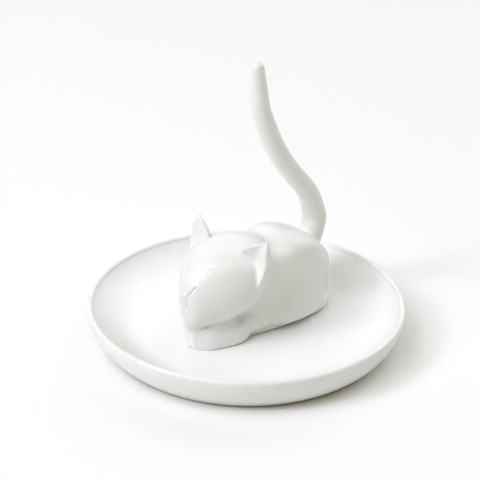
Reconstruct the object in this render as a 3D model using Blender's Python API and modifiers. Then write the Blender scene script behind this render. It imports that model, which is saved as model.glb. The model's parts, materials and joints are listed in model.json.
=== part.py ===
"""Ring holder in glazed ceramic: a crouching cat on a round dish, whose upright tail takes the rings.

Metres, +Z up. The origin is the centre of the foot on the table, and the cat faces -Y, so its left is +X.
Each piece is formed by itself and seats on its neighbour with SEAT_GAP, the film of slip that joins them.
"""
import math

import bmesh
import bpy
from mathutils import Vector

SEAT_GAP = 0.0003
WELD_DISTANCE = 0.000001

# Dish: a turned tray with a rounded lip, a swelling wall, a concave inside and a foot ring
RIM_RADIUS = 0.0600
DISH_HEIGHT = 0.0143
LIP_THICKNESS = 0.0022
OUTER_WALL_LEAN = 0.0072
OUTER_WALL_BULGE = 0.0015
INNER_WALL_RUN = 0.0168
DISH_FLOOR_THICKNESS = 0.0038
FOOT_ROUNDING = 0.0006
FOOT_WIDTH = 0.0034
FOOT_RECESS = 0.0012
DISH_STEPS = 56
WALL_ARC_STEPS = 6
LIP_ARC_STEPS = 4
FOOT_ARC_STEPS = 2
FOOT_RADIUS = RIM_RADIUS - OUTER_WALL_LEAN
FLOOR_RADIUS = RIM_RADIUS - LIP_THICKNESS - INNER_WALL_RUN
FLOOR_TOP = FOOT_RECESS + DISH_FLOOR_THICKNESS
CAT_SEAT = FLOOR_TOP + SEAT_GAP

# Torso: a loft from the chest to the rump
TORSO_FRONT = -0.0160
TORSO_LENGTH = 0.0566
TORSO_HALF_WIDTH = 0.0150
TORSO_HEIGHT = 0.0350
TORSO_SHARES = (
    # along, half width, underside, back
    (0.00, 0.47, 0.08, 0.71),
    (0.07, 0.76, -0.07, 0.85),
    (0.21, 0.87, -0.07, 0.95),
    (0.39, 0.91, -0.07, 0.98),
    (0.55, 0.97, -0.07, 1.00),
    (0.71, 1.00, -0.07, 0.95),
    (0.83, 0.89, -0.07, 0.84),
    (0.92, 0.73, -0.06, 0.69),
    (0.98, 0.46, 0.02, 0.50),
)
TORSO_SECTION_SHARES = ((0.0, 1.0), (0.62, 0.93), (0.98, 0.66), (1.0, 0.30), (0.86, 0.03), (0.0, 0.0))

# Head: a loft from the muzzle, which hangs over the paws, to the nape, with a round chin joined below
HEAD_OVERHANG = 0.0160
HEAD_LENGTH = 0.0400
HEAD_HALF_WIDTH = 0.0170
HEAD_RISE = 0.0077
HEAD_HEIGHT = 0.0300
HEAD_SHARES = (
    # along, half width, jaw, crown
    (0.00, 0.32, 0.07, 0.62),
    (0.09, 0.65, 0.05, 0.77),
    (0.25, 0.88, 0.08, 0.91),
    (0.47, 1.00, 0.14, 0.97),
    (0.68, 0.97, 0.35, 0.97),
    (0.88, 0.74, 0.55, 0.945),
    (1.00, 0.38, 0.67, 0.87),
)
HEAD_SECTION_SHARES = ((0.0, 1.0), (0.60, 0.97), (0.97, 0.70), (1.0, 0.36), (0.70, 0.05), (0.0, 0.0))
HEAD_FRONT = TORSO_FRONT - HEAD_OVERHANG
HEAD_LOW = CAT_SEAT + HEAD_RISE
CHIN_CENTRE_SHARES = (0.0, 0.12, 0.167)
CHIN_RADII = (0.0052, 0.0050, 0.0043)
CHIN_SEGMENTS = 16
CHIN_RINGS = 10

# Forelegs: each a loft from the elbow to the toes, lying beside the median plane
FORELEG_INNER = 0.0002
FORELEG_TUCK = 0.0070
FORELEG_LENGTH = 0.0220
FORELEG_OUTER = 0.0126
FORELEG_HEIGHT = 0.0080
FORELEG_SHARES = (
    # along from the elbow, outer side, underside, top
    (0.00, 0.91, -0.29, 0.96),
    (0.22, 1.00, -0.29, 1.00),
    (0.44, 0.93, -0.29, 0.97),
    (0.71, 0.73, -0.29, 0.89),
    (0.90, 0.46, -0.29, 0.71),
    (1.00, 0.27, -0.16, 0.46),
)
FORELEG_SECTION_SHARES = ((0.0, 0.06), (0.0, 0.5), (0.04, 0.95), (0.5, 1.0),
                          (0.94, 0.92), (1.0, 0.5), (0.93, 0.05), (0.5, 0.0))
FORELEG_BACK = TORSO_FRONT + FORELEG_TUCK

# Haunches: each an ellipsoid sunk into the flank
HAUNCH_CENTRE_SHARES = (0.82, 0.569, 0.206)
HAUNCH_RADII = (0.0065, 0.0140, 0.0130)
HAUNCH_SEGMENTS = 24
HAUNCH_RINGS = 14

# Ears: each a hollow leaf, given by rows of points from the inner edge round the hollow to the outer edge
EAR_THICKNESS = 0.0015
EAR_SIZE = 0.0175
EAR_ROOT_SHARES = (0.547, 0.525, 0.533)
EAR_SHARES = (
    ((-0.30, 0.00, 0.50), (0.03, 0.26, 0.29), (0.20, 0.31, 0.00), (0.14, 0.06, -0.30)),
    ((-0.14, -0.20, 0.74), (0.13, 0.16, 0.60), (0.33, 0.23, 0.29), (0.37, -0.07, 0.10)),
    ((0.05, -0.15, 0.85), (0.24, 0.12, 0.75), (0.43, 0.16, 0.53), (0.54, -0.05, 0.44)),
    ((0.21, -0.05, 0.93), (0.34, 0.10, 0.89), (0.48, 0.12, 0.76), (0.57, 0.00, 0.73)),
    ((0.36, 0.06, 1.01), (0.41, 0.09, 0.98), (0.47, 0.10, 0.93), (0.51, 0.06, 0.89)),
    ((0.41, 0.10, 1.04), (0.42, 0.10, 1.03), (0.44, 0.10, 1.01), (0.45, 0.09, 1.00)),
)

# Tail: a tapered tube along a smooth curve in the median plane, that bends out of the rump and sweeps forward
TAIL_INSET = 0.0028
TAIL_SWEEP = 0.0344
TAIL_HEIGHT = 0.1018
TAIL_ROOT_RADIUS = 0.0048
TAIL_SHARES = (
    # sweep, height, radius
    (0.285, 0.154, 1.00),
    (0.088, 0.216, 1.00),
    (0.000, 0.286, 1.00),
    (0.022, 0.339, 0.95),
    (0.148, 0.427, 0.84),
    (0.434, 0.537, 0.78),
    (0.665, 0.639, 0.80),
    (0.816, 0.731, 0.78),
    (0.923, 0.816, 0.72),
    (0.967, 0.894, 0.66),
    (1.000, 0.975, 0.54),
)
TAIL_BACK = TORSO_FRONT + TORSO_LENGTH - TAIL_INSET
TAIL_STEPS_PER_SPAN = 3
TAIL_TIP_STEPS = 4
TAIL_BEVEL_RESOLUTION = 5

GLAZE_COLOUR = (0.86, 0.86, 0.85, 1.0)
GLAZE_ROUGHNESS = 0.28


def clear_scene():
    for item in list(bpy.data.objects):
        bpy.data.objects.remove(item, do_unlink=True)


def new_collection(name):
    group = bpy.data.collections.new(name)
    bpy.context.scene.collection.children.link(group)
    return group


def glaze(name):
    """White glaze for one piece."""
    material = bpy.data.materials.new(f"{name}_glaze")
    material.use_nodes = True
    shader = material.node_tree.nodes["Principled BSDF"]
    shader.inputs["Base Color"].default_value = GLAZE_COLOUR
    shader.inputs["Roughness"].default_value = GLAZE_ROUGHNESS
    shader.inputs["Metallic"].default_value = 0.0
    return material


def add_piece(name, mesh, group):
    piece = bpy.data.objects.new(name, mesh)
    group.objects.link(piece)
    mesh.materials.clear()
    mesh.materials.append(glaze(name))
    mesh.shade_smooth()
    return piece


def add_cutter(name, mesh, group):
    cutter = bpy.data.objects.new(name, mesh)
    group.objects.link(cutter)
    cutter.hide_render = True
    cutter.display_type = "WIRE"
    return cutter


def subdivide(piece, levels):
    modifier = piece.modifiers.new("soften", "SUBSURF")
    modifier.levels = levels
    modifier.render_levels = levels


def grown_cutter(piece, group):
    """A copy of the piece's form, SEAT_GAP larger all round, to cut its neighbour with."""
    cutter = add_cutter(f"{piece.name}_socket", piece.data, group)
    cutter.location = piece.location
    for original in piece.modifiers:
        if original.type == "SUBSURF":
            subdivide(cutter, original.levels)
    growth = cutter.modifiers.new("grow", "DISPLACE")
    growth.strength = SEAT_GAP
    growth.mid_level = 0.0
    return cutter


def join(piece, addition):
    modifier = piece.modifiers.new(f"join_{addition.name}", "BOOLEAN")
    modifier.operation = "UNION"
    modifier.object = addition


def cut(piece, *cutters):
    for cutter in cutters:
        modifier = piece.modifiers.new(f"cut_{cutter.name}", "BOOLEAN")
        modifier.operation = "DIFFERENCE"
        modifier.object = cutter


def loft_mesh(name, rings):
    """A closed skin through rings of points, with a flat face at each end."""
    shape = bmesh.new()
    rows = [[shape.verts.new(point) for point in ring] for ring in rings]
    for near, far in zip(rows, rows[1:]):
        for index in range(len(near)):
            following = (index + 1) % len(near)
            shape.faces.new((near[index], near[following], far[following], far[index]))
    shape.faces.new(rows[0])
    shape.faces.new(rows[-1])
    bmesh.ops.recalc_face_normals(shape, faces=shape.faces)
    mesh = bpy.data.meshes.new(name)
    shape.to_mesh(mesh)
    shape.free()
    return mesh


def symmetric_ring(place, half_width, low, high, section_shares):
    """A ring across the median plane: down the right side of the section, and up its mirror image."""
    down = [(x * half_width, low + z * (high - low)) for x, z in section_shares]
    up = [(-x, z) for x, z in reversed(down[1:-1])]
    return [Vector((x, place, z)) for x, z in down + up]


def point_by_shares(shares, half_width, front, length, low, height):
    """A point on the left of a loft, from its shares of the loft's half width, length and height."""
    across, along, up = shares
    return Vector((across * half_width, front + along * length, low + up * height))


def arc(centre, radius, start, end, steps):
    """Points on an arc in the profile plane, from one angle to another in radians."""
    angles = [start + (end - start) * step / steps for step in range(steps + 1)]
    return [(centre[0] + radius * math.cos(angle), centre[1] + radius * math.sin(angle)) for angle in angles]


def bulged_arc(start, end, bulge, steps):
    """Points on the arc between two points that swells away from the chord, to its left, by the bulge."""
    start, end = Vector(start), Vector(end)
    chord = end - start
    half = chord.length / 2
    radius = (half * half + bulge * bulge) / (2 * bulge)
    outward = Vector((-chord.y, chord.x)).normalized()
    centre = (start + end) / 2 + outward * (bulge - radius)
    turn = math.asin(half / radius)
    middle = math.atan2(outward.y, outward.x)
    return arc(centre, radius, middle + turn, middle - turn, steps)


def dish_profile():
    """Radius and height from the middle of the floor, over the lip and down the outside, to below."""
    lip_radius = LIP_THICKNESS / 2
    lip_centre = (RIM_RADIUS - lip_radius, DISH_HEIGHT - lip_radius)
    # The inside wall is an arc that leaves the floor level and meets the lip's inner side
    run = lip_centre[0] - lip_radius - FLOOR_RADIUS
    rise = lip_centre[1] - FLOOR_TOP
    wall_radius = (run * run + rise * rise) / (2 * rise)
    wall_turn = 2 * math.atan2(rise, run)
    level = -math.pi / 2
    inside = arc((FLOOR_RADIUS, FLOOR_TOP + wall_radius), wall_radius, level, level + wall_turn, WALL_ARC_STEPS)
    lip = arc(lip_centre, lip_radius, math.pi, 0, LIP_ARC_STEPS)
    foot_centre = (FOOT_RADIUS - FOOT_ROUNDING, FOOT_ROUNDING)
    foot = arc(foot_centre, FOOT_ROUNDING, 0, level, FOOT_ARC_STEPS)
    recess_radius = FOOT_RADIUS - FOOT_ROUNDING - FOOT_WIDTH
    below = [(recess_radius, 0.0), (recess_radius - FOOT_RECESS, FOOT_RECESS), (0.0, FOOT_RECESS)]
    outside = bulged_arc(lip[-1], foot[0], OUTER_WALL_BULGE, WALL_ARC_STEPS)
    return [(0.0, FLOOR_TOP)] + inside + lip[1:] + outside[1:-1] + foot + below


def make_dish(group):
    shape = bmesh.new()
    points = [shape.verts.new((radius, 0.0, height)) for radius, height in dish_profile()]
    for upper, lower in zip(points, points[1:]):
        shape.edges.new((upper, lower))
    mesh = bpy.data.meshes.new("dish")
    shape.to_mesh(mesh)
    shape.free()
    piece = add_piece("dish", mesh, group)
    turn = piece.modifiers.new("turn", "SCREW")
    turn.axis = "Z"
    turn.steps = DISH_STEPS
    turn.render_steps = DISH_STEPS
    turn.use_merge_vertices = True
    turn.merge_threshold = WELD_DISTANCE
    turn.use_smooth_shade = True
    return piece


def make_torso(group):
    rings = []
    for along, width, low, high in TORSO_SHARES:
        rings.append(symmetric_ring(TORSO_FRONT + along * TORSO_LENGTH, width * TORSO_HALF_WIDTH,
                                    CAT_SEAT + low * TORSO_HEIGHT, CAT_SEAT + high * TORSO_HEIGHT,
                                    TORSO_SECTION_SHARES))
    torso = add_piece("torso", loft_mesh("torso", rings), group)
    subdivide(torso, 2)
    return torso


def make_head(group):
    rings = []
    for along, width, low, high in HEAD_SHARES:
        rings.append(symmetric_ring(HEAD_FRONT + along * HEAD_LENGTH, width * HEAD_HALF_WIDTH,
                                    HEAD_LOW + low * HEAD_HEIGHT, HEAD_LOW + high * HEAD_HEIGHT,
                                    HEAD_SECTION_SHARES))
    head = add_piece("head", loft_mesh("head", rings), group)
    subdivide(head, 2)
    return head


def make_foreleg(name, side, group):
    rings = []
    for along, outer, low, high in FORELEG_SHARES:
        place = FORELEG_BACK - along * FORELEG_LENGTH
        width = outer * FORELEG_OUTER - FORELEG_INNER
        low_height = CAT_SEAT + low * FORELEG_HEIGHT
        high_height = CAT_SEAT + high * FORELEG_HEIGHT
        rings.append([Vector((side * (FORELEG_INNER + x * width), place,
                              low_height + z * (high_height - low_height)))
                      for x, z in FORELEG_SECTION_SHARES])
    leg = add_piece(name, loft_mesh(name, rings), group)
    subdivide(leg, 2)
    return leg


def ellipsoid_mesh(name, radii, segments, rings):
    shape = bmesh.new()
    bmesh.ops.create_uvsphere(shape, u_segments=segments, v_segments=rings, radius=1.0)
    bmesh.ops.scale(shape, vec=radii, verts=shape.verts)
    mesh = bpy.data.meshes.new(name)
    shape.to_mesh(mesh)
    shape.free()
    return mesh


def make_haunch(name, side, group):
    haunch = add_piece(name, ellipsoid_mesh(name, HAUNCH_RADII, HAUNCH_SEGMENTS, HAUNCH_RINGS), group)
    haunch.location = point_by_shares(HAUNCH_CENTRE_SHARES, side * TORSO_HALF_WIDTH, TORSO_FRONT, TORSO_LENGTH,
                                      CAT_SEAT, TORSO_HEIGHT)
    return haunch


def make_ear(name, side, group):
    root = point_by_shares(EAR_ROOT_SHARES, side * HEAD_HALF_WIDTH, HEAD_FRONT, HEAD_LENGTH, HEAD_LOW, HEAD_HEIGHT)
    shape = bmesh.new()
    rows = []
    for row in EAR_SHARES:
        rows.append([shape.verts.new(root + EAR_SIZE * Vector((side * x, y, z))) for x, y, z in row])
    for low, high in zip(rows, rows[1:]):
        for index in range(len(low) - 1):
            corners = (low[index], low[index + 1], high[index + 1], high[index])
            shape.faces.new(corners if side > 0 else corners[::-1])
    mesh = bpy.data.meshes.new(name)
    shape.to_mesh(mesh)
    shape.free()
    ear = add_piece(name, mesh, group)
    wall = ear.modifiers.new("wall", "SOLIDIFY")
    wall.thickness = EAR_THICKNESS
    wall.offset = -1.0
    subdivide(ear, 1)
    return ear


def smooth_path(points, steps):
    """Points on a smooth curve through all the given ones, each a tuple of numbers."""
    ends = [points[0]] + list(points) + [points[-1]]
    path = []
    for before, start, end, after in zip(ends, ends[1:], ends[2:], ends[3:]):
        for step in range(steps):
            t = step / steps
            path.append(tuple(
                0.5 * (2 * b + (c - a) * t + (2 * a - 5 * b + 4 * c - d) * t * t
                       + (3 * b - a - 3 * c + d) * t * t * t)
                for a, b, c, d in zip(before, start, end, after)))
    path.append(points[-1])
    return path


def tail_stations():
    """Places and radii along the tail, which ends in a round tip."""
    given = [(TAIL_BACK - sweep * TAIL_SWEEP, CAT_SEAT + height * TAIL_HEIGHT, radius * TAIL_ROOT_RADIUS)
             for sweep, height, radius in TAIL_SHARES]
    path = smooth_path(given, TAIL_STEPS_PER_SPAN)
    end_along, end_height, end_radius = path[-1]
    before_along, before_height = path[-2][:2]
    heading = Vector((end_along - before_along, end_height - before_height)).normalized()
    for step in range(1, TAIL_TIP_STEPS + 1):
        angle = math.pi / 2 * step / (TAIL_TIP_STEPS + 1)
        ahead = heading * end_radius * math.sin(angle)
        path.append((end_along + ahead.x, end_height + ahead.y, end_radius * math.cos(angle)))
    return path


def make_tail(group):
    stations = tail_stations()
    curve = bpy.data.curves.new("tail", "CURVE")
    curve.dimensions = "3D"
    curve.bevel_depth = 1.0
    curve.bevel_resolution = TAIL_BEVEL_RESOLUTION
    curve.use_fill_caps = True
    spline = curve.splines.new("POLY")
    spline.points.add(len(stations) - 1)
    for point, (along, height, radius) in zip(spline.points, stations):
        point.co = (0.0, along, height, 1.0)
        point.radius = radius
    guide = bpy.data.objects.new("tail_guide", curve)
    group.objects.link(guide)
    graph = bpy.context.evaluated_depsgraph_get()
    mesh = bpy.data.meshes.new_from_object(guide.evaluated_get(graph), depsgraph=graph)
    shape = bmesh.new()
    shape.from_mesh(mesh)
    bmesh.ops.remove_doubles(shape, verts=shape.verts, dist=WELD_DISTANCE)
    bmesh.ops.recalc_face_normals(shape, faces=shape.faces)
    shape.to_mesh(mesh)
    shape.free()
    tail = add_piece("tail", mesh, group)
    bpy.data.objects.remove(guide, do_unlink=True)
    return tail


def make_seat_cutter(group):
    """Everything below the plane that the cat sits on."""
    shape = bmesh.new()
    bmesh.ops.create_cube(shape, size=1.0)
    bmesh.ops.scale(shape, vec=(2 * RIM_RADIUS, 2 * RIM_RADIUS, 2 * CAT_SEAT), verts=shape.verts)
    mesh = bpy.data.meshes.new("seat_plane")
    shape.to_mesh(mesh)
    shape.free()
    return add_cutter("seat_plane", mesh, group)


def main():
    clear_scene()
    pieces = new_collection("ring_holder")
    cutters = new_collection("cutters")
    make_dish(pieces)
    torso = make_torso(pieces)
    head = make_head(pieces)
    tail = make_tail(pieces)
    seat = make_seat_cutter(cutters)
    torso_socket = grown_cutter(torso, cutters)
    head_socket = grown_cutter(head, cutters)
    chin = add_cutter("chin_form", ellipsoid_mesh("chin_form", CHIN_RADII, CHIN_SEGMENTS, CHIN_RINGS), cutters)
    chin.location = point_by_shares(CHIN_CENTRE_SHARES, HEAD_HALF_WIDTH, HEAD_FRONT, HEAD_LENGTH, HEAD_LOW,
                                    HEAD_HEIGHT)
    chin_socket = grown_cutter(chin, cutters)
    join(head, chin)
    for name, side in (("left", 1), ("right", -1)):
        foreleg = make_foreleg(f"{name}_foreleg", side, pieces)
        haunch = make_haunch(f"{name}_haunch", side, pieces)
        ear = make_ear(f"{name}_ear", side, pieces)
        cut(torso, grown_cutter(haunch, cutters))
        cut(foreleg, torso_socket, head_socket, chin_socket, seat)
        cut(haunch, seat)
        cut(ear, head_socket)
    cut(torso, head_socket, grown_cutter(tail, cutters), seat)


main()
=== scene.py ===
"""Looks of the ring holder: a white glazed cat on a round dish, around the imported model.

Lengths are metres, +Z is up and the cat faces -Y. The cat's forms overlap, and one skin is drawn over all
of them, with a fillet of glaze in each hollow. Then the eyes, nose and mouth are cut into it. The right
side is the mirror image of the left. A share is a part of a form's own length, half width or height.
"""
import json
import math

import bmesh
import bpy
import numpy as np
from mathutils import Matrix, Vector

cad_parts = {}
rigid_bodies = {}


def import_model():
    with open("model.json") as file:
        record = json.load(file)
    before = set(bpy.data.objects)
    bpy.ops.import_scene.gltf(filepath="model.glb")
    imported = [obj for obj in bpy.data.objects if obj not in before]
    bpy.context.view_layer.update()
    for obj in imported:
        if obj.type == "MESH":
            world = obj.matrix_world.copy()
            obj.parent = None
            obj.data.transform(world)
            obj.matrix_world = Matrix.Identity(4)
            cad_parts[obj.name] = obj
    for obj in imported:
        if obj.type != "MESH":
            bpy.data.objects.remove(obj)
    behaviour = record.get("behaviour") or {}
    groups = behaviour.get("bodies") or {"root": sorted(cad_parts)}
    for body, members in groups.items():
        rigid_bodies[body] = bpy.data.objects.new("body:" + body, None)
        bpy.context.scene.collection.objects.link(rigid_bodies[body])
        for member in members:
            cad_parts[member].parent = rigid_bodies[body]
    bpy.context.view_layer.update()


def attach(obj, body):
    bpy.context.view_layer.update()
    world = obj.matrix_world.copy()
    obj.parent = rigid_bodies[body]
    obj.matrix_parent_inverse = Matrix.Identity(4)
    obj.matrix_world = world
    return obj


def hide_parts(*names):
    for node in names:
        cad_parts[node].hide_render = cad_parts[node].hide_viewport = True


MM = 0.001
MERGE_DISTANCE = 0.001 * MM
SMALLEST_SQUARE = 1e-12

# Camera, fitted to the dish's rim and base in the photograph: degrees, places, and lens and sensor in mm
CAMERA_AZIMUTH = 43.0
CAMERA_ELEVATION = 26.21
CAMERA_ROLL = 0.87
CAMERA_DISTANCE = 520 * MM
CAMERA_ASIDE = -2.27 * MM
CAMERA_ABOVE = 34.81 * MM
CAMERA_LENS = 102.0
CAMERA_SENSOR = 36.0

# Dish: its section as radii and heights above the table, and the steps of its curves
RIM_RADIUS = 60.0 * MM
DISH_HEIGHT = 14.3 * MM
LIP_THICKNESS = 2.2 * MM
OUTER_WALL_LEAN = 7.2 * MM
OUTER_WALL_BULGE = 1.5 * MM
INNER_WALL_RUN = 16.8 * MM
FLOOR_TOP = 5.0 * MM
FOOT_ROUNDING = 0.6 * MM
FOOT_WIDTH = 3.4 * MM
FOOT_RECESS = 1.2 * MM
INNER_WALL_STEPS = 24
LIP_STEPS = 12
OUTER_WALL_STEPS = 20
FOOT_STEPS = 5
DISH_STEPS = 240

# The cat's forms: a loft has rows of shares along it, and shares of its section, which for the body and head
# is the left half, from the top of the median plane round to the underside
CAT_SEAT = FLOOR_TOP + 0.3 * MM
BODY_SUBDIVISIONS = 4
LIMB_SUBDIVISIONS = 3
SPHERE_SEGMENTS = 96
SPHERE_RINGS = 48

# Body: torso, chest, and the plinth that it stands on, inside the undercut below the belly
TORSO_FRONT = -16.0 * MM
TORSO_LENGTH = 56.6 * MM
TORSO_HALF_WIDTH = 15.0 * MM
TORSO_HEIGHT = 35.0 * MM
TORSO_BOX = (TORSO_FRONT, TORSO_LENGTH, TORSO_HALF_WIDTH, CAT_SEAT, TORSO_HEIGHT)
CHEST_SHARES = (
    # along, half width, underside, back
    (0.00, 0.36, 0.08, 0.58),
    (0.06, 0.62, 0.03, 0.68),
    (0.12, 0.82, 0.00, 0.78),
    (0.22, 0.93, 0.00, 0.89),
    (0.34, 0.97, 0.00, 0.945),
    (0.48, 0.98, 0.00, 0.94),
    (0.60, 0.97, 0.00, 0.90),
)
TORSO_SHARES = (
    # along, half width, underside, back
    (0.430, 0.30, 0.10, 0.88),
    (0.445, 0.50, 0.05, 0.935),
    (0.465, 0.68, 0.00, 0.965),
    (0.50, 0.83, 0.00, 0.978),
    (0.55, 0.95, 0.00, 0.975),
    (0.62, 1.00, 0.00, 0.955),
    (0.72, 0.99, 0.00, 0.900),
    (0.83, 0.87, 0.00, 0.775),
    (0.92, 0.71, 0.00, 0.64),
    (0.98, 0.46, 0.04, 0.48),
)
TORSO_SECTION_SHARES = ((0.0, 1.0), (0.48, 0.975), (0.87, 0.90), (1.03, 0.73), (1.0, 0.5),
                        (0.97, 0.32), (1.0, 0.12), (0.88, 0.06), (0.0, 0.06))
PLINTH_RISE = (-0.03, 0.12)
PLINTH_SHARES = (
    # along, half width
    (0.04, 0.30),
    (0.12, 0.66),
    (0.26, 0.84),
    (0.42, 0.99),
    (0.62, 1.08),
    (0.72, 1.10),
    (0.80, 1.03),
    (0.87, 0.86),
    (0.93, 0.54),
)
PLINTH_SECTION_SHARES = ((0.0, 1.0), (0.98, 1.0), (1.0, 0.5), (0.98, 0.0), (0.0, 0.0))

# Head, with round forms that are added to it as centre and radii
HEAD_FRONT = -32.0 * MM
HEAD_LENGTH = 40.0 * MM
HEAD_HALF_WIDTH = 17.0 * MM
HEAD_LOW = 13.0 * MM
HEAD_HEIGHT = 30.0 * MM
HEAD_BOX = (HEAD_FRONT, HEAD_LENGTH, HEAD_HALF_WIDTH, HEAD_LOW, HEAD_HEIGHT)
HEAD_SHARES = (
    # along, half width, jaw, crown
    (0.00, 0.19, 0.10, 0.58),
    (0.05, 0.35, 0.05, 0.68),
    (0.12, 0.51, 0.03, 0.79),
    (0.21, 0.69, 0.03, 0.89),
    (0.33, 0.88, 0.03, 0.945),
    (0.46, 1.01, 0.09, 0.96),
    (0.58, 1.05, 0.22, 0.96),
    (0.68, 0.93, 0.35, 0.955),
    (0.78, 0.72, 0.47, 0.94),
    (0.88, 0.46, 0.58, 0.91),
    (0.96, 0.22, 0.67, 0.86),
)
HEAD_SECTION_SHARES = ((0.0, 1.0), (0.62, 0.97), (1.0, 0.72), (0.99, 0.37), (0.72, 0.05), (0.0, 0.0))
CHIN_CENTRE = (0.0, -27.3 * MM, 16.9 * MM)
CHIN_RADII = (4.8 * MM, 4.9 * MM, 4.4 * MM)
THROAT_CENTRE = (0.0, -16.6 * MM, 14.2 * MM)
THROAT_RADII = (9.3 * MM, 11.0 * MM, 6.0 * MM)
NOSE_CENTRE = (0.0, -29.6 * MM, 29.4 * MM)
NOSE_RADII = (3.4 * MM, 1.8 * MM, 2.3 * MM)

# Legs: the left forearm and paw as a loft with a whole section, and the upper arm and haunch as centre, radii
# and the share by which they lean back as they rise
FORELEG_BACK = -2.0 * MM
FORELEG_LENGTH = 28.4 * MM
FORELEG_OUTER = 12.6 * MM
FORELEG_HEIGHT = 8.6 * MM
FORELEG_SHARES = (
    # along from the elbow, outer side, underside, top
    (0.00, 0.60, 0.28, 0.90),
    (0.24, 0.87, 0.06, 0.97),
    (0.41, 0.93, 0.00, 1.00),
    (0.54, 0.86, 0.00, 1.00),
    (0.65, 0.76, 0.00, 1.00),
    (0.75, 0.66, 0.00, 1.00),
    (0.805, 0.60, 0.00, 1.00),
    (0.845, 0.55, 0.00, 1.00),
    (0.885, 0.45, 0.00, 0.99),
    (0.93, 0.32, 0.00, 0.97),
    (0.965, 0.22, 0.00, 0.95),
    (1.00, 0.12, 0.02, 0.90),
)
FORELEG_SECTION_SHARES = ((0.0, -0.1), (0.0, 0.5), (0.02, 0.97), (0.5, 1.0),
                          (0.97, 0.96), (1.02, 0.5), (1.02, 0.16), (0.97, -0.1), (0.5, -0.1))
SHOULDER_CENTRE = (8.0 * MM, -5.5 * MM, 14.0 * MM)
SHOULDER_RADII = (5.0 * MM, 8.6 * MM, 8.5 * MM)
SHOULDER_LEAN = 0.65
HAUNCH_CENTRE = (11.6 * MM, 14.5 * MM, 12.5 * MM)
HAUNCH_RADII = (6.8 * MM, 15.5 * MM, 14.0 * MM)
HAUNCH_LEAN = 0.0

# Left ear, in mm: rows of places across its hollow, from the crown's side to the outer rim, the thickness of
# the wall at each row and its share at each place across, and the way out of the hollow
EAR_HOLLOW = (
    ((17.1, -14.1, 30.4), (16.8, -13.6, 30.1), (16.6, -13.2, 30.0), (17.3, -13.4, 30.2)),
    ((15.8, -13.9, 34.2), (16.0, -12.6, 33.7), (16.6, -11.9, 33.6), (18.5, -12.3, 33.9)),
    ((13.6, -13.0, 38.6), (13.5, -9.8, 36.7), (15.0, -9.5, 36.7), (18.8, -10.9, 37.8)),
    ((6.5, -13.0, 40.9), (10.9, -9.3, 39.7), (13.9, -8.9, 39.8), (18.5, -10.7, 41.4)),
    ((11.0, -11.4, 43.4), (13.4, -9.5, 43.1), (15.9, -9.3, 43.7), (17.8, -9.7, 44.3)),
    ((17.1, -8.7, 46.9), (17.3, -8.6, 46.8), (17.5, -8.6, 46.8), (17.8, -8.6, 46.6)),
)
EAR_WALLS = (2.4, 2.5, 2.6, 2.5, 2.2, 1.2)
EAR_WALL_SHARES = (0.35, 0.7, 1.0, 1.0)
EAR_OPENING = (4.5, -6.0, 3.0)

# Tail: its hindmost place, how far the tip sweeps forward from there, its height and its root's radius
TAIL_BACK = 37.8 * MM
TAIL_SWEEP = 34.4 * MM
TAIL_HEIGHT = 101.8 * MM
TAIL_ROOT_RADIUS = 4.8 * MM
TAIL_SHARES = (
    # sweep, height, radius
    (0.285, 0.154, 1.00),
    (0.088, 0.216, 1.00),
    (0.000, 0.286, 1.00),
    (0.022, 0.339, 0.95),
    (0.148, 0.427, 0.84),
    (0.434, 0.537, 0.78),
    (0.665, 0.639, 0.80),
    (0.816, 0.731, 0.78),
    (0.923, 0.816, 0.72),
    (0.967, 0.894, 0.66),
    (1.000, 0.975, 0.54),
)
TAIL_STEPS = 10
TAIL_TIP_STEPS = 12
TAIL_BEVEL_RESOLUTION = 14

# Skin: first a coarse one over the body, then a fine one over everything
UNDERCUT_TOP = 7.3 * MM
MASS_VOXEL = 0.8 * MM
MASS_EVEN_PASSES = 6
MASS_FILL_PASSES = 220
SKIN_VOXEL = 0.4 * MM
SKIN_EVEN_PASSES = 26
SKIN_FILL_PASSES = 24
SKIN_BOTTOM = FLOOR_TOP - 0.2 * MM
LAST_EVEN_PASSES = 4
EVEN_SHARES = (0.5, -0.52)
FILL_SHARE = 0.6

# Where the filling of hollows is held back: ranges across, along and up over which that begins or ends
JAW_END = (-4 * MM, 2 * MM)
CROWN_RISE = (27 * MM, 34 * MM)
NAPE_END = (12 * MM, 16 * MM)
NAPE_HOLD = 0.65
BELLY_RISE = (8 * MM, 10 * MM)
CHIN_END = (-22 * MM, -16 * MM)
CHIN_RISE = (18 * MM, 22 * MM)
EAR_RISE = (27 * MM, 30 * MM)
EAR_END = (-7 * MM, -4 * MM)
EAR_SPREAD = (6 * MM, 9 * MM)
DETAIL_HOLD = 0.8

# Lines cut into the face: half widths with depths, and places across and up, seen from the front, of which
# the paths are in mm
EYE_PLACE = (6.1 * MM, 36.4 * MM)
EYE_RADIUS = 1.35 * MM
EYE_LINE = (0.38 * MM, 0.22 * MM)
NOSE_LINE = (0.62 * MM, 0.60 * MM)
PHILTRUM_LINE = (0.50 * MM, 0.60 * MM)
MOUTH_LINE = (0.35 * MM, 0.12 * MM)
NOSE_ARM = ((0.0, 27.6), (1.2, 28.4), (2.4, 29.8), (3.1, 31.2))
PHILTRUM = ((0.0, 27.6), (0.0, 25.5), (0.0, 22.4))
MOUTH_ARM = ((0.0, 22.4), (1.0, 21.4), (2.2, 21.0), (3.4, 21.3))
FACE_BACK = -14.0 * MM
FACE_PATH_STEPS = 5
FACE_NEAREST = 6
EYE_STEPS = 32
LINE_SHARPNESS = 1.5
LINE_CUTS = 3

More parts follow.
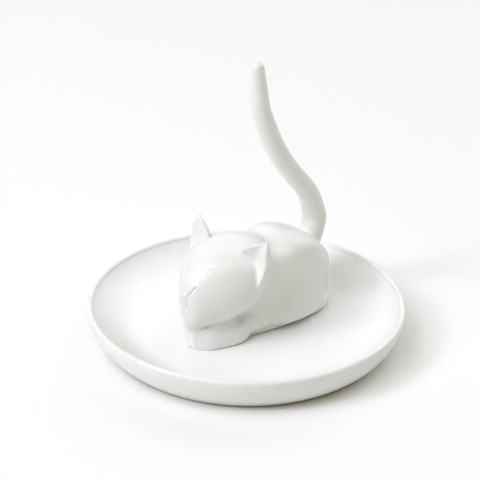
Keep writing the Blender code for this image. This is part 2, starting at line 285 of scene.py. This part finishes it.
# Glaze: both ends of its colour and roughness, the reach of the noise that spreads over them, noises as scale
# and detail, and bumps as strength and distance
GLAZE_COLOURS = ((0.930, 0.930, 0.912, 1.0), (0.945, 0.947, 0.938, 1.0))
GLAZE_ROUGHNESS = (0.34, 0.44)
COAT_WEIGHT = 0.15
COAT_ROUGHNESS = 0.22
NOISE_REACH = (0.3, 0.7)
TINT_NOISE = (45.0, 3.0)
GLOSS_NOISE = (160.0, 4.0)
RIPPLE_NOISE = (420.0, 3.0)
RIPPLE_BUMP = (0.25, 0.08 * MM)
GRAIN_NOISE = (2600.0, 2.0)
GRAIN_BUMP = (0.2, 0.02 * MM)

# Bare ware: the height below which the dish's foot ring is wiped free of glaze, and its look
BARE_FOOT = 0.35 * MM
NOWHERE_BARE = 0.0
BARE_COLOUR = (0.80, 0.76, 0.69, 1.0)
BARE_ROUGHNESS = 0.9

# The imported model's pieces that the cat's skin stands for
CAT_NODES = ("torso", "head", "left_ear", "right_ear", "left_foreleg", "right_foreleg", "left_haunch",
             "right_haunch", "tail")

# Room: a table just below the dish's foot, square lights in degrees, metres and watts, and the display's
# gamma, which below 1 raises the contrast
TABLE_SIZE = 12.0
TABLE_DROP = 0.05 * MM
TABLE_COLOUR = (0.97, 0.97, 0.96, 1.0)
TABLE_ROUGHNESS = 0.9
WORLD_COLOUR = (1.0, 0.97, 0.69, 1.0)
WORLD_STRENGTH = 0.294
CONTRAST = 0.66
LIGHT_DISTANCE = 2.0
LIGHT_COLOUR = (0.875, 0.885, 1.0)
LIGHTS = (
    # name, azimuth, elevation, size, power
    ("key", -19, 35, 0.5, 9.5),
    ("front", 0, 62, 1.6, 9.7),
    ("front_small", 0, 50, 0.6, 4.1),
    ("right", 60, 62, 1.6, 2.9),
    ("back_right", 120, 62, 1.6, 5.8),
    ("back", 180, 30, 1.6, 11.8),
    ("back_left", -120, 30, 1.6, 7.4),
    ("left", -45, 55, 1.0, 4.3),
)


def new_object(name, data):
    item = bpy.data.objects.new(name, data)
    bpy.context.scene.collection.objects.link(item)
    return item


def mesh_from(name, shape):
    """A new mesh from a bmesh, which is used up."""
    mesh = bpy.data.meshes.new(name)
    shape.to_mesh(mesh)
    shape.free()
    return mesh


def baked_mesh(name, mesh, add_modifiers):
    """A new mesh: the given one with modifiers applied, which the given function adds."""
    item = new_object(name, mesh)
    add_modifiers(item)
    graph = bpy.context.evaluated_depsgraph_get()
    baked = bpy.data.meshes.new_from_object(item.evaluated_get(graph), depsgraph=graph)
    baked.name = name
    bpy.data.objects.remove(item, do_unlink=True)
    return baked


def subdivided(levels):
    """A function that adds a subdivision modifier."""
    def add(item):
        modifier = item.modifiers.new("soften", "SUBSURF")
        modifier.levels = levels
        modifier.render_levels = levels
    return add


def loft_mesh(name, rings):
    """A closed form through rings of points, with a flat face at each end."""
    shape = bmesh.new()
    rows = [[shape.verts.new(point) for point in ring] for ring in rings]
    for near, far in zip(rows, rows[1:]):
        for index in range(len(near)):
            following = (index + 1) % len(near)
            shape.faces.new((near[index], near[following], far[following], far[index]))
    shape.faces.new(rows[0])
    shape.faces.new(rows[-1])
    bmesh.ops.recalc_face_normals(shape, faces=shape.faces)
    return mesh_from(name, shape)


def symmetric_ring(place, half_width, low, high, section_shares):
    """A ring across the body: the left half of a section, and its mirror image."""
    down = [(x * half_width, low + z * (high - low)) for x, z in section_shares]
    up = [(-x, z) for x, z in reversed(down[1:-1])]
    return [Vector((x, place, z)) for x, z in down + up]


def body_loft(name, shares, section_shares, box):
    """A form that is the same on both sides, from its rows of shares of the box that it lies in."""
    front, length, half_width, base, height = box
    rings = [symmetric_ring(front + along * length, width * half_width, base + low * height,
                            base + high * height, section_shares)
             for along, width, low, high in shares]
    return baked_mesh(name, loft_mesh(name, rings), subdivided(BODY_SUBDIVISIONS))


def ellipsoid(name, centre, radii):
    shape = bmesh.new()
    bmesh.ops.create_uvsphere(shape, u_segments=SPHERE_SEGMENTS, v_segments=SPHERE_RINGS, radius=1.0)
    bmesh.ops.scale(shape, vec=radii, verts=shape.verts)
    bmesh.ops.translate(shape, vec=centre, verts=shape.verts)
    return mesh_from(name, shape)


def foreleg(side):
    rings = []
    for along, outer, low, high in FORELEG_SHARES:
        width = outer * FORELEG_OUTER
        base = CAT_SEAT + low * FORELEG_HEIGHT
        rings.append([Vector((side * x * width, FORELEG_BACK - along * FORELEG_LENGTH,
                              base + z * (high - low) * FORELEG_HEIGHT))
                      for x, z in FORELEG_SECTION_SHARES])
    return baked_mesh("foreleg", loft_mesh("foreleg", rings), subdivided(LIMB_SUBDIVISIONS))


def sheet_solid(name, front, back, turned):
    """A closed solid between two sheets of equal rows of places, smooth inside its sharp borders."""
    shape = bmesh.new()
    sheets = [[[shape.verts.new(place) for place in row] for row in sheet] for sheet in (front, back)]
    for rows, flip in zip(sheets, (turned, not turned)):
        for low, high in zip(rows, rows[1:]):
            for index in range(len(low) - 1):
                corners = (low[index], low[index + 1], high[index + 1], high[index])
                shape.faces.new(corners[::-1] if flip else corners)
    around = [rows[0] + [row[-1] for row in rows[1:-1]] + rows[-1][::-1]
              + [row[0] for row in rows[-2:0:-1]] for rows in sheets]
    crease = shape.edges.layers.float.new("crease_edge")
    for index, start in enumerate(around[0]):
        following = (index + 1) % len(around[0])
        face = shape.faces.new((start, around[0][following], around[1][following], around[1][index]))
        face.edges[0][crease] = face.edges[2][crease] = 1.0
    bmesh.ops.recalc_face_normals(shape, faces=shape.faces)
    return baked_mesh(name, mesh_from(name, shape), subdivided(LIMB_SUBDIVISIONS))


def ear_hollow(side):
    return [[Vector((side * x, y, z)) * MM for x, y, z in row] for row in EAR_HOLLOW]


def ear(side):
    """A wall round the back of the ear's hollow, thick at the head and thin at the tip."""
    rows = ear_hollow(side)

    def facing(row, place):
        along = rows[min(row + 1, len(rows) - 1)][place] - rows[max(row - 1, 0)][place]
        across = rows[row][min(place + 1, len(rows[row]) - 1)] - rows[row][max(place - 1, 0)]
        return across.cross(along).normalized() * side
    back = [[place - facing(row, index) * EAR_WALLS[row] * EAR_WALL_SHARES[index] * MM
             for index, place in enumerate(places)]
            for row, places in enumerate(rows)]
    return sheet_solid("ear", rows, back, side < 0)


def ear_cutter(side):
    """The room in front of the ear's hollow, which is taken out of the head."""
    x, y, z = EAR_OPENING
    rows = ear_hollow(side)
    ahead = Vector((side * x, y, z)) * MM
    return sheet_solid("ear_cutter", rows, [[place + ahead for place in row] for row in rows], side > 0)


def cut_out(mesh, cutters):
    """The mesh without what lies in the cutters, which are used up."""
    tools = [new_object(cutter.name, cutter) for cutter in cutters]

    def cut(item):
        for tool in tools:
            modifier = item.modifiers.new("cut", "BOOLEAN")
            modifier.solver = "EXACT"
            modifier.operation = "DIFFERENCE"
            modifier.object = tool
    result = baked_mesh(mesh.name, mesh, cut)
    for tool in tools:
        bpy.data.meshes.remove(tool.data)
    return result


def smooth_path(points, steps):
    """Points on a smooth curve through all the given ones, each a tuple of numbers."""
    ends = [points[0]] + list(points) + [points[-1]]
    path = []
    for before, start, end, after in zip(ends, ends[1:], ends[2:], ends[3:]):
        for step in range(steps):
            t = step / steps
            path.append(tuple(
                0.5 * (2 * b + (c - a) * t + (2 * a - 5 * b + 4 * c - d) * t * t
                       + (3 * b - a - 3 * c + d) * t * t * t)
                for a, b, c, d in zip(before, start, end, after)))
    path.append(points[-1])
    return path


def tail():
    """A tube along the tail's smooth curve, with a round tip."""
    given = [(TAIL_BACK - sweep * TAIL_SWEEP, CAT_SEAT + height * TAIL_HEIGHT, radius * TAIL_ROOT_RADIUS)
             for sweep, height, radius in TAIL_SHARES]
    path = smooth_path(given, TAIL_STEPS)
    end_along, end_height, end_radius = path[-1]
    heading = Vector((end_along - path[-2][0], end_height - path[-2][1])).normalized()
    for step in range(1, TAIL_TIP_STEPS):
        angle = math.pi / 2 * step / TAIL_TIP_STEPS
        ahead = heading * end_radius * math.sin(angle)
        path.append((end_along + ahead.x, end_height + ahead.y, end_radius * math.cos(angle)))
    curve = bpy.data.curves.new("tail", "CURVE")
    curve.dimensions = "3D"
    curve.bevel_depth = 1.0
    curve.bevel_resolution = TAIL_BEVEL_RESOLUTION
    curve.use_fill_caps = True
    spline = curve.splines.new("POLY")
    spline.points.add(len(path) - 1)
    for point, (along, height, radius) in zip(spline.points, path):
        point.co = (0.0, along, height, 1.0)
        point.radius = radius
    mesh = baked_mesh("tail", curve, lambda item: None)
    shape = bmesh.new()
    shape.from_mesh(mesh)
    bmesh.ops.remove_doubles(shape, verts=shape.verts, dist=MERGE_DISTANCE)
    bmesh.ops.recalc_face_normals(shape, faces=shape.faces)
    shape.to_mesh(mesh)
    shape.free()
    return mesh


def vertex_values(mesh, attribute):
    values = np.empty(len(mesh.vertices) * 3, np.float32)
    mesh.vertices.foreach_get(attribute, values)
    return values.reshape(-1, 3).astype(float)


def positions(mesh):
    return vertex_values(mesh, "co")


def normals(mesh):
    return vertex_values(mesh, "normal")


def set_positions(mesh, co):
    mesh.vertices.foreach_set("co", co.astype(np.float32).ravel())
    mesh.update()


class Neighbours:
    """Averages over each vertex's neighbours."""

    def __init__(self, mesh):
        pairs = np.empty(len(mesh.edges) * 2, np.int32)
        mesh.edges.foreach_get("vertices", pairs)
        self.a, self.b = pairs.reshape(-1, 2).T
        self.size = len(mesh.vertices)
        self.count = np.bincount(self.a, minlength=self.size) + np.bincount(self.b, minlength=self.size)

    def mean(self, values):
        out = np.empty_like(values)
        for axis in range(values.shape[1]):
            column = values[:, axis]
            out[:, axis] = (np.bincount(self.a, column[self.b], self.size)
                            + np.bincount(self.b, column[self.a], self.size))
        return out / self.count[:, None]


def even_out(mesh, near, passes):
    """Takes the voxels' steps out of a skin, and keeps its size."""
    co = positions(mesh)
    for _ in range(passes):
        for share in EVEN_SHARES:
            co += share * (near.mean(co) - co)
    set_positions(mesh, co)


def fill_hollows(mesh, near, passes, weight):
    """Moves the skin outward in its hollows, as glaze pools there, and leaves its rounds where they are."""
    for _ in range(passes):
        co = positions(mesh)
        step = near.mean(co) - co
        outward = (step * normals(mesh)).sum(1)
        share = np.where(outward > 0, FILL_SHARE, 0.0) * weight(co)
        set_positions(mesh, co + step * share[:, None])


def ramp(values, low, high):
    """0 up to the low value and 1 from the high value on, with a smooth rise between."""
    t = np.clip((values - low) / (high - low), 0.0, 1.0)
    return t * t * (3 - 2 * t)


def mass_weight(co):
    """How freely the body's hollows fill: less at the nape, and not below the jaw or under the belly."""
    y, z = co[:, 1], co[:, 2]
    jaw = (1 - ramp(y, *JAW_END)) * (1 - ramp(z, *CROWN_RISE))
    nape = NAPE_HOLD * (1 - ramp(y, *NAPE_END)) * ramp(z, *CROWN_RISE)
    under = 1 - ramp(z, *BELLY_RISE)
    return (1 - jaw) * (1 - nape) * (1 - under)


def skin_weight(co):
    """How freely the skin's small hollows fill: hardly at the chin, the ears and the belly's lower edge."""
    x, y, z = np.abs(co[:, 0]), co[:, 1], co[:, 2]
    chin = (1 - ramp(y, *CHIN_END)) * (1 - ramp(z, *CHIN_RISE))
    ears = ramp(z, *EAR_RISE) * (1 - ramp(y, *EAR_END)) * ramp(x, *EAR_SPREAD)
    under = 1 - ramp(z, *BELLY_RISE)
    return 1 - DETAIL_HOLD * np.maximum(np.maximum(chin, ears), under)


def skin_over(name, forms, voxel):
    """One closed skin over all the forms, which are used up."""
    shape = bmesh.new()
    for form in forms:
        shape.from_mesh(form)
        bpy.data.meshes.remove(form)

    def remesh(item):
        modifier = item.modifiers.new("skin", "REMESH")
        modifier.mode = "VOXEL"
        modifier.voxel_size = voxel
    return baked_mesh(name, mesh_from(name, shape), remesh)


def limb(name, side, centre, radii, lean):
    """A haunch or an upper arm, flat above the undercut, that leans back by that share as it rises."""
    across, along, height = centre
    mesh = ellipsoid(name, (side * across, along, height), radii)
    co = positions(mesh)
    co[:, 1] += (co[:, 2] - height) * lean
    co[:, 2] = np.maximum(co[:, 2], UNDERCUT_TOP)
    set_positions(mesh, co)
    return mesh


def body_mass():
    """Torso, head, haunches and upper arms, run into each other with wide fillets and open at the ears."""
    forms = [
        body_loft("torso", TORSO_SHARES, TORSO_SECTION_SHARES, TORSO_BOX),
        body_loft("chest", CHEST_SHARES, TORSO_SECTION_SHARES, TORSO_BOX),
        body_loft("head", HEAD_SHARES, HEAD_SECTION_SHARES, HEAD_BOX),
    ]
    forms += [limb("haunch", side, HAUNCH_CENTRE, HAUNCH_RADII, HAUNCH_LEAN) for side in (1, -1)]
    forms += [limb("shoulder", side, SHOULDER_CENTRE, SHOULDER_RADII, SHOULDER_LEAN) for side in (1, -1)]
    mesh = skin_over("mass", forms, MASS_VOXEL)
    near = Neighbours(mesh)
    even_out(mesh, near, MASS_EVEN_PASSES)
    fill_hollows(mesh, near, MASS_FILL_PASSES, mass_weight)
    even_out(mesh, near, LAST_EVEN_PASSES)
    return cut_out(mesh, [ear_cutter(1), ear_cutter(-1)])


def cat_skin():
    """The whole cat in one skin, cut level where it stands in the dish."""
    plinth = [(along, width, *PLINTH_RISE) for along, width in PLINTH_SHARES]
    forms = [
        body_mass(),
        body_loft("plinth", plinth, PLINTH_SECTION_SHARES, TORSO_BOX),
        ellipsoid("chin", CHIN_CENTRE, CHIN_RADII),
        ellipsoid("throat", THROAT_CENTRE, THROAT_RADII),
        ellipsoid("nose", NOSE_CENTRE, NOSE_RADII),
        tail(),
    ]
    for side in (1, -1):
        forms += [foreleg(side), ear(side)]
    mesh = skin_over("cat", forms, SKIN_VOXEL)
    near = Neighbours(mesh)
    even_out(mesh, near, SKIN_EVEN_PASSES)
    fill_hollows(mesh, near, SKIN_FILL_PASSES, skin_weight)
    even_out(mesh, near, LAST_EVEN_PASSES)
    flatten_bottom(mesh)
    return mesh


def flatten_bottom(mesh):
    """Cuts the cat level just below the top of the dish's floor, and closes the cut."""
    shape = bmesh.new()
    shape.from_mesh(mesh)
    everything = list(shape.verts) + list(shape.edges) + list(shape.faces)
    bmesh.ops.bisect_plane(shape, geom=everything, plane_co=(0, 0, SKIN_BOTTOM), plane_no=(0, 0, 1),
                           clear_inner=True)
    rim = [edge for edge in shape.edges if edge.is_boundary]
    bmesh.ops.contextual_create(shape, geom=rim)
    shape.to_mesh(mesh)
    shape.free()


def segment_distance(co, start, end):
    along = end - start
    t = np.clip(((co - start) @ along) / max(along @ along, SMALLEST_SQUARE), 0, 1)
    return np.linalg.norm(co - start - t[:, None] * along, axis=1)


def line_distance(co, path):
    """How far each place is from the nearest point of a path."""
    return np.min([segment_distance(co, a, b) for a, b in zip(path, path[1:])], axis=0)


def face_lines(mesh):
    """Paths on the skin, each with its half width and depth."""
    co, outward = positions(mesh), normals(mesh)
    front = np.flatnonzero(co[:, 1] < FACE_BACK)

    def nearest(x, z, count):
        return front[np.argsort((co[front, 0] - x) ** 2 + (co[front, 2] - z) ** 2)[:count]]

    def on_skin(side, points):
        places = [(side * x * MM, z * MM) for x, z in smooth_path(points, FACE_PATH_STEPS)]
        return np.array([(x, co[nearest(x, z, FACE_NEAREST), 1].mean(), z) for x, z in places])

    def eye_ring(side):
        middle = nearest(side * EYE_PLACE[0], EYE_PLACE[1], 1)[0]
        centre, normal = Vector(co[middle]), Vector(outward[middle])
        across = normal.orthogonal().normalized()
        up = normal.cross(across)
        angles = [2 * math.pi * step / EYE_STEPS for step in range(EYE_STEPS + 1)]
        return np.array([centre + EYE_RADIUS * (across * math.cos(angle) + up * math.sin(angle))
                         for angle in angles])

    lines = [(on_skin(1, PHILTRUM), *PHILTRUM_LINE)]
    for side in (1, -1):
        lines += [(eye_ring(side), *EYE_LINE), (on_skin(side, NOSE_ARM), *NOSE_LINE),
                  (on_skin(side, MOUTH_ARM), *MOUTH_LINE)]
    return lines


def engrave(mesh):
    """Cuts the lines of the face into the skin, which is made finer there first."""
    lines = face_lines(mesh)

    def depth_at(co):
        depth = np.zeros(len(co))
        for path, half_width, line_depth in lines:
            share = np.clip(1 - (line_distance(co, path) / half_width) ** 2, 0, 1)
            depth = np.maximum(depth, line_depth * share ** LINE_SHARPNESS)
        return depth

    shape = bmesh.new()
    shape.from_mesh(mesh)
    shape.faces.ensure_lookup_table()
    centres = np.array([face.calc_center_median() for face in shape.faces])
    close = np.zeros(len(centres), bool)
    for path, half_width, _ in lines:
        close |= line_distance(centres, path) < half_width + SKIN_VOXEL
    edges = list({edge for index in np.flatnonzero(close) for edge in shape.faces[index].edges})
    bmesh.ops.subdivide_edges(shape, edges=edges, cuts=LINE_CUTS, use_grid_fill=True)
    shape.to_mesh(mesh)
    shape.free()
    mesh.update()
    co = positions(mesh)
    co -= normals(mesh) * depth_at(co)[:, None]
    set_positions(mesh, co)


def arc(centre, radius, start, end, steps):
    angles = [start + (end - start) * step / steps for step in range(steps + 1)]
    return [(centre[0] + radius * math.cos(angle), centre[1] + radius * math.sin(angle))
            for angle in angles]


def bulged_arc(start, end, bulge, steps):
    """Points on the arc between two points that swells to the left of the chord, by the bulge."""
    start, end = Vector(start), Vector(end)
    chord = end - start
    half = chord.length / 2
    radius = (half * half + bulge * bulge) / (2 * bulge)
    outward = Vector((-chord.y, chord.x)).normalized()
    centre = (start + end) / 2 + outward * (bulge - radius)
    turn = math.asin(half / radius)
    middle = math.atan2(outward.y, outward.x)
    return arc(centre, radius, middle + turn, middle - turn, steps)


def dish_profile():
    """Radius and height from the middle of the floor, over the lip and down the outside, to below."""
    foot_radius = RIM_RADIUS - OUTER_WALL_LEAN
    floor_radius = RIM_RADIUS - LIP_THICKNESS - INNER_WALL_RUN
    lip_radius = LIP_THICKNESS / 2
    lip_centre = (RIM_RADIUS - lip_radius, DISH_HEIGHT - lip_radius)
    run = lip_centre[0] - lip_radius - floor_radius
    rise = lip_centre[1] - FLOOR_TOP
    wall_radius = (run * run + rise * rise) / (2 * rise)
    wall_turn = 2 * math.atan2(rise, run)
    level = -math.pi / 2
    floor = [(0.0, FLOOR_TOP), (floor_radius / 2, FLOOR_TOP)]
    inside = arc((floor_radius, FLOOR_TOP + wall_radius), wall_radius, level, level + wall_turn,
                 INNER_WALL_STEPS)
    lip = arc(lip_centre, lip_radius, math.pi, 0, LIP_STEPS)
    foot_centre = (foot_radius - FOOT_ROUNDING, FOOT_ROUNDING)
    foot = arc(foot_centre, FOOT_ROUNDING, 0, level, FOOT_STEPS)
    recess_radius = foot_radius - FOOT_ROUNDING - FOOT_WIDTH
    below = [(recess_radius, 0.0), (recess_radius - FOOT_RECESS, FOOT_RECESS),
             (floor_radius / 2, FOOT_RECESS), (0.0, FOOT_RECESS)]
    outside = bulged_arc(lip[-1], foot[0], OUTER_WALL_BULGE, OUTER_WALL_STEPS)
    return floor + inside + lip[1:] + outside[1:-1] + foot + below


def dish_mesh():
    shape = bmesh.new()
    points = [shape.verts.new((radius, 0.0, height)) for radius, height in dish_profile()]
    for upper, lower in zip(points, points[1:]):
        shape.edges.new((upper, lower))

    def turn(item):
        modifier = item.modifiers.new("turn", "SCREW")
        modifier.axis = "Z"
        modifier.steps = DISH_STEPS
        modifier.render_steps = DISH_STEPS
        modifier.use_merge_vertices = True
        modifier.merge_threshold = MERGE_DISTANCE
    return baked_mesh("dish", mesh_from("dish", shape), turn)


def glaze_material(name, bare_below):
    """White satin glaze, a little uneven in colour and gloss, with the faint ripple of a fired surface.

    Below the given height the ware is bare, as a foot ring is wiped before firing.
    """
    material = bpy.data.materials.new(name)
    material.use_nodes = True
    nodes, links = material.node_tree.nodes, material.node_tree.links
    shader = nodes["Principled BSDF"]
    place = nodes.new("ShaderNodeTexCoord").outputs["Object"]

    def noise(scale, detail):
        node = nodes.new("ShaderNodeTexNoise")
        node.inputs["Scale"].default_value = scale
        node.inputs["Detail"].default_value = detail
        links.new(place, node.inputs["Vector"])
        return node.outputs["Fac"]

    def spread(source, low, high):
        node = nodes.new("ShaderNodeMapRange")
        node.inputs["From Min"].default_value, node.inputs["From Max"].default_value = NOISE_REACH
        node.inputs["To Min"].default_value = low
        node.inputs["To Max"].default_value = high
        links.new(source, node.inputs["Value"])
        return node.outputs["Result"]

    def bump(source, strength, distance):
        node = nodes.new("ShaderNodeBump")
        node.inputs["Strength"].default_value = strength
        node.inputs["Distance"].default_value = distance
        links.new(source, node.inputs["Height"])
        return node

    tint = nodes.new("ShaderNodeMix")
    tint.data_type = "RGBA"
    tint.inputs["A"].default_value, tint.inputs["B"].default_value = GLAZE_COLOURS
    links.new(spread(noise(*TINT_NOISE), 0.0, 1.0), tint.inputs["Factor"])

    height = nodes.new("ShaderNodeSeparateXYZ")
    links.new(place, height.inputs["Vector"])
    bare = nodes.new("ShaderNodeMath")
    bare.operation = "LESS_THAN"
    bare.inputs[1].default_value = bare_below
    links.new(height.outputs["Z"], bare.inputs[0])

    body = nodes.new("ShaderNodeMix")
    body.data_type = "RGBA"
    body.inputs["B"].default_value = BARE_COLOUR
    links.new(bare.outputs["Value"], body.inputs["Factor"])
    links.new(tint.outputs["Result"], body.inputs["A"])
    links.new(body.outputs["Result"], shader.inputs["Base Color"])

    gloss = nodes.new("ShaderNodeMix")
    gloss.inputs["B"].default_value = BARE_ROUGHNESS
    links.new(bare.outputs["Value"], gloss.inputs["Factor"])
    links.new(spread(noise(*GLOSS_NOISE), *GLAZE_ROUGHNESS), gloss.inputs["A"])
    links.new(gloss.outputs["Result"], shader.inputs["Roughness"])

    ripple = bump(noise(*RIPPLE_NOISE), *RIPPLE_BUMP)
    grain = bump(noise(*GRAIN_NOISE), *GRAIN_BUMP)
    links.new(ripple.outputs["Normal"], grain.inputs["Normal"])
    links.new(grain.outputs["Normal"], shader.inputs["Normal"])
    shader.inputs["Coat Weight"].default_value = COAT_WEIGHT
    shader.inputs["Coat Roughness"].default_value = COAT_ROUGHNESS
    return material


def add_piece(name, mesh, slot, bare_below, *nodes):
    """A visible glazed piece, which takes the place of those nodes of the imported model."""
    piece = new_object(name, mesh)
    mesh.materials.clear()
    mesh.materials.append(glaze_material(f"{name}_glaze", bare_below))
    mesh.shade_smooth()
    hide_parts(*nodes)
    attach(piece, "root")


def white_table():
    shape = bmesh.new()
    bmesh.ops.create_grid(shape, x_segments=1, y_segments=1, size=TABLE_SIZE / 2)
    mesh = mesh_from("table", shape)
    table = new_object("table", mesh)
    table.location.z = -TABLE_DROP
    material = bpy.data.materials.new("table_white")
    material.use_nodes = True
    shader = material.node_tree.nodes["Principled BSDF"]
    shader.inputs["Base Color"].default_value = TABLE_COLOUR
    shader.inputs["Roughness"].default_value = TABLE_ROUGHNESS
    mesh.materials.append(material)


def direction(azimuth, elevation):
    """Unit vector towards a place at that azimuth and elevation, in degrees; azimuth 0 is on the -Y side."""
    a, e = math.radians(azimuth), math.radians(elevation)
    return Vector((math.sin(a) * math.cos(e), -math.cos(a) * math.cos(e), math.sin(e)))


def softbox(name, azimuth, elevation, size, power):
    light = bpy.data.lights.new(name, "AREA")
    light.shape = "SQUARE"
    light.size = size
    light.energy = power
    light.color = LIGHT_COLOUR
    lamp = new_object(name, light)
    back = direction(azimuth, elevation)
    lamp.location = back * LIGHT_DISTANCE
    lamp.rotation_euler = (-back).to_track_quat("-Z", "Y").to_euler()


def add_lights():
    for light in LIGHTS:
        softbox(*light)
    world = bpy.data.worlds.new("room")
    bpy.context.scene.world = world
    world.use_nodes = True
    background = world.node_tree.nodes["Background"]
    background.inputs["Color"].default_value = WORLD_COLOUR
    background.inputs["Strength"].default_value = WORLD_STRENGTH


def add_camera():
    back = direction(CAMERA_AZIMUTH, CAMERA_ELEVATION)
    level = Vector((0, 0, 1)).cross(back).normalized()
    upright = back.cross(level)
    roll = math.radians(CAMERA_ROLL)
    right = level * math.cos(roll) + upright * math.sin(roll)
    up = upright * math.cos(roll) - level * math.sin(roll)
    eye = right * CAMERA_ASIDE + up * CAMERA_ABOVE + back * CAMERA_DISTANCE
    data = bpy.data.cameras.new("camera")
    data.lens = CAMERA_LENS
    data.sensor_width = CAMERA_SENSOR
    camera = new_object("camera", data)
    rotation = Matrix((right, up, back)).transposed().to_4x4()
    camera.matrix_world = Matrix.Translation(eye) @ rotation
    bpy.context.scene.camera = camera


def main():
    for item in list(bpy.data.objects):
        bpy.data.objects.remove(item, do_unlink=True)
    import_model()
    scene = bpy.context.scene
    scene.view_settings.view_transform = "Standard"
    scene.view_settings.look = "None"
    scene.view_settings.gamma = CONTRAST
    add_piece("dish_glazed", dish_mesh(), "dish_glaze", BARE_FOOT, "dish")
    skin = cat_skin()
    engrave(skin)
    add_piece("cat_glazed", skin, "cat_glaze", NOWHERE_BARE, *CAT_NODES)
    white_table()
    add_lights()
    add_camera()


main()
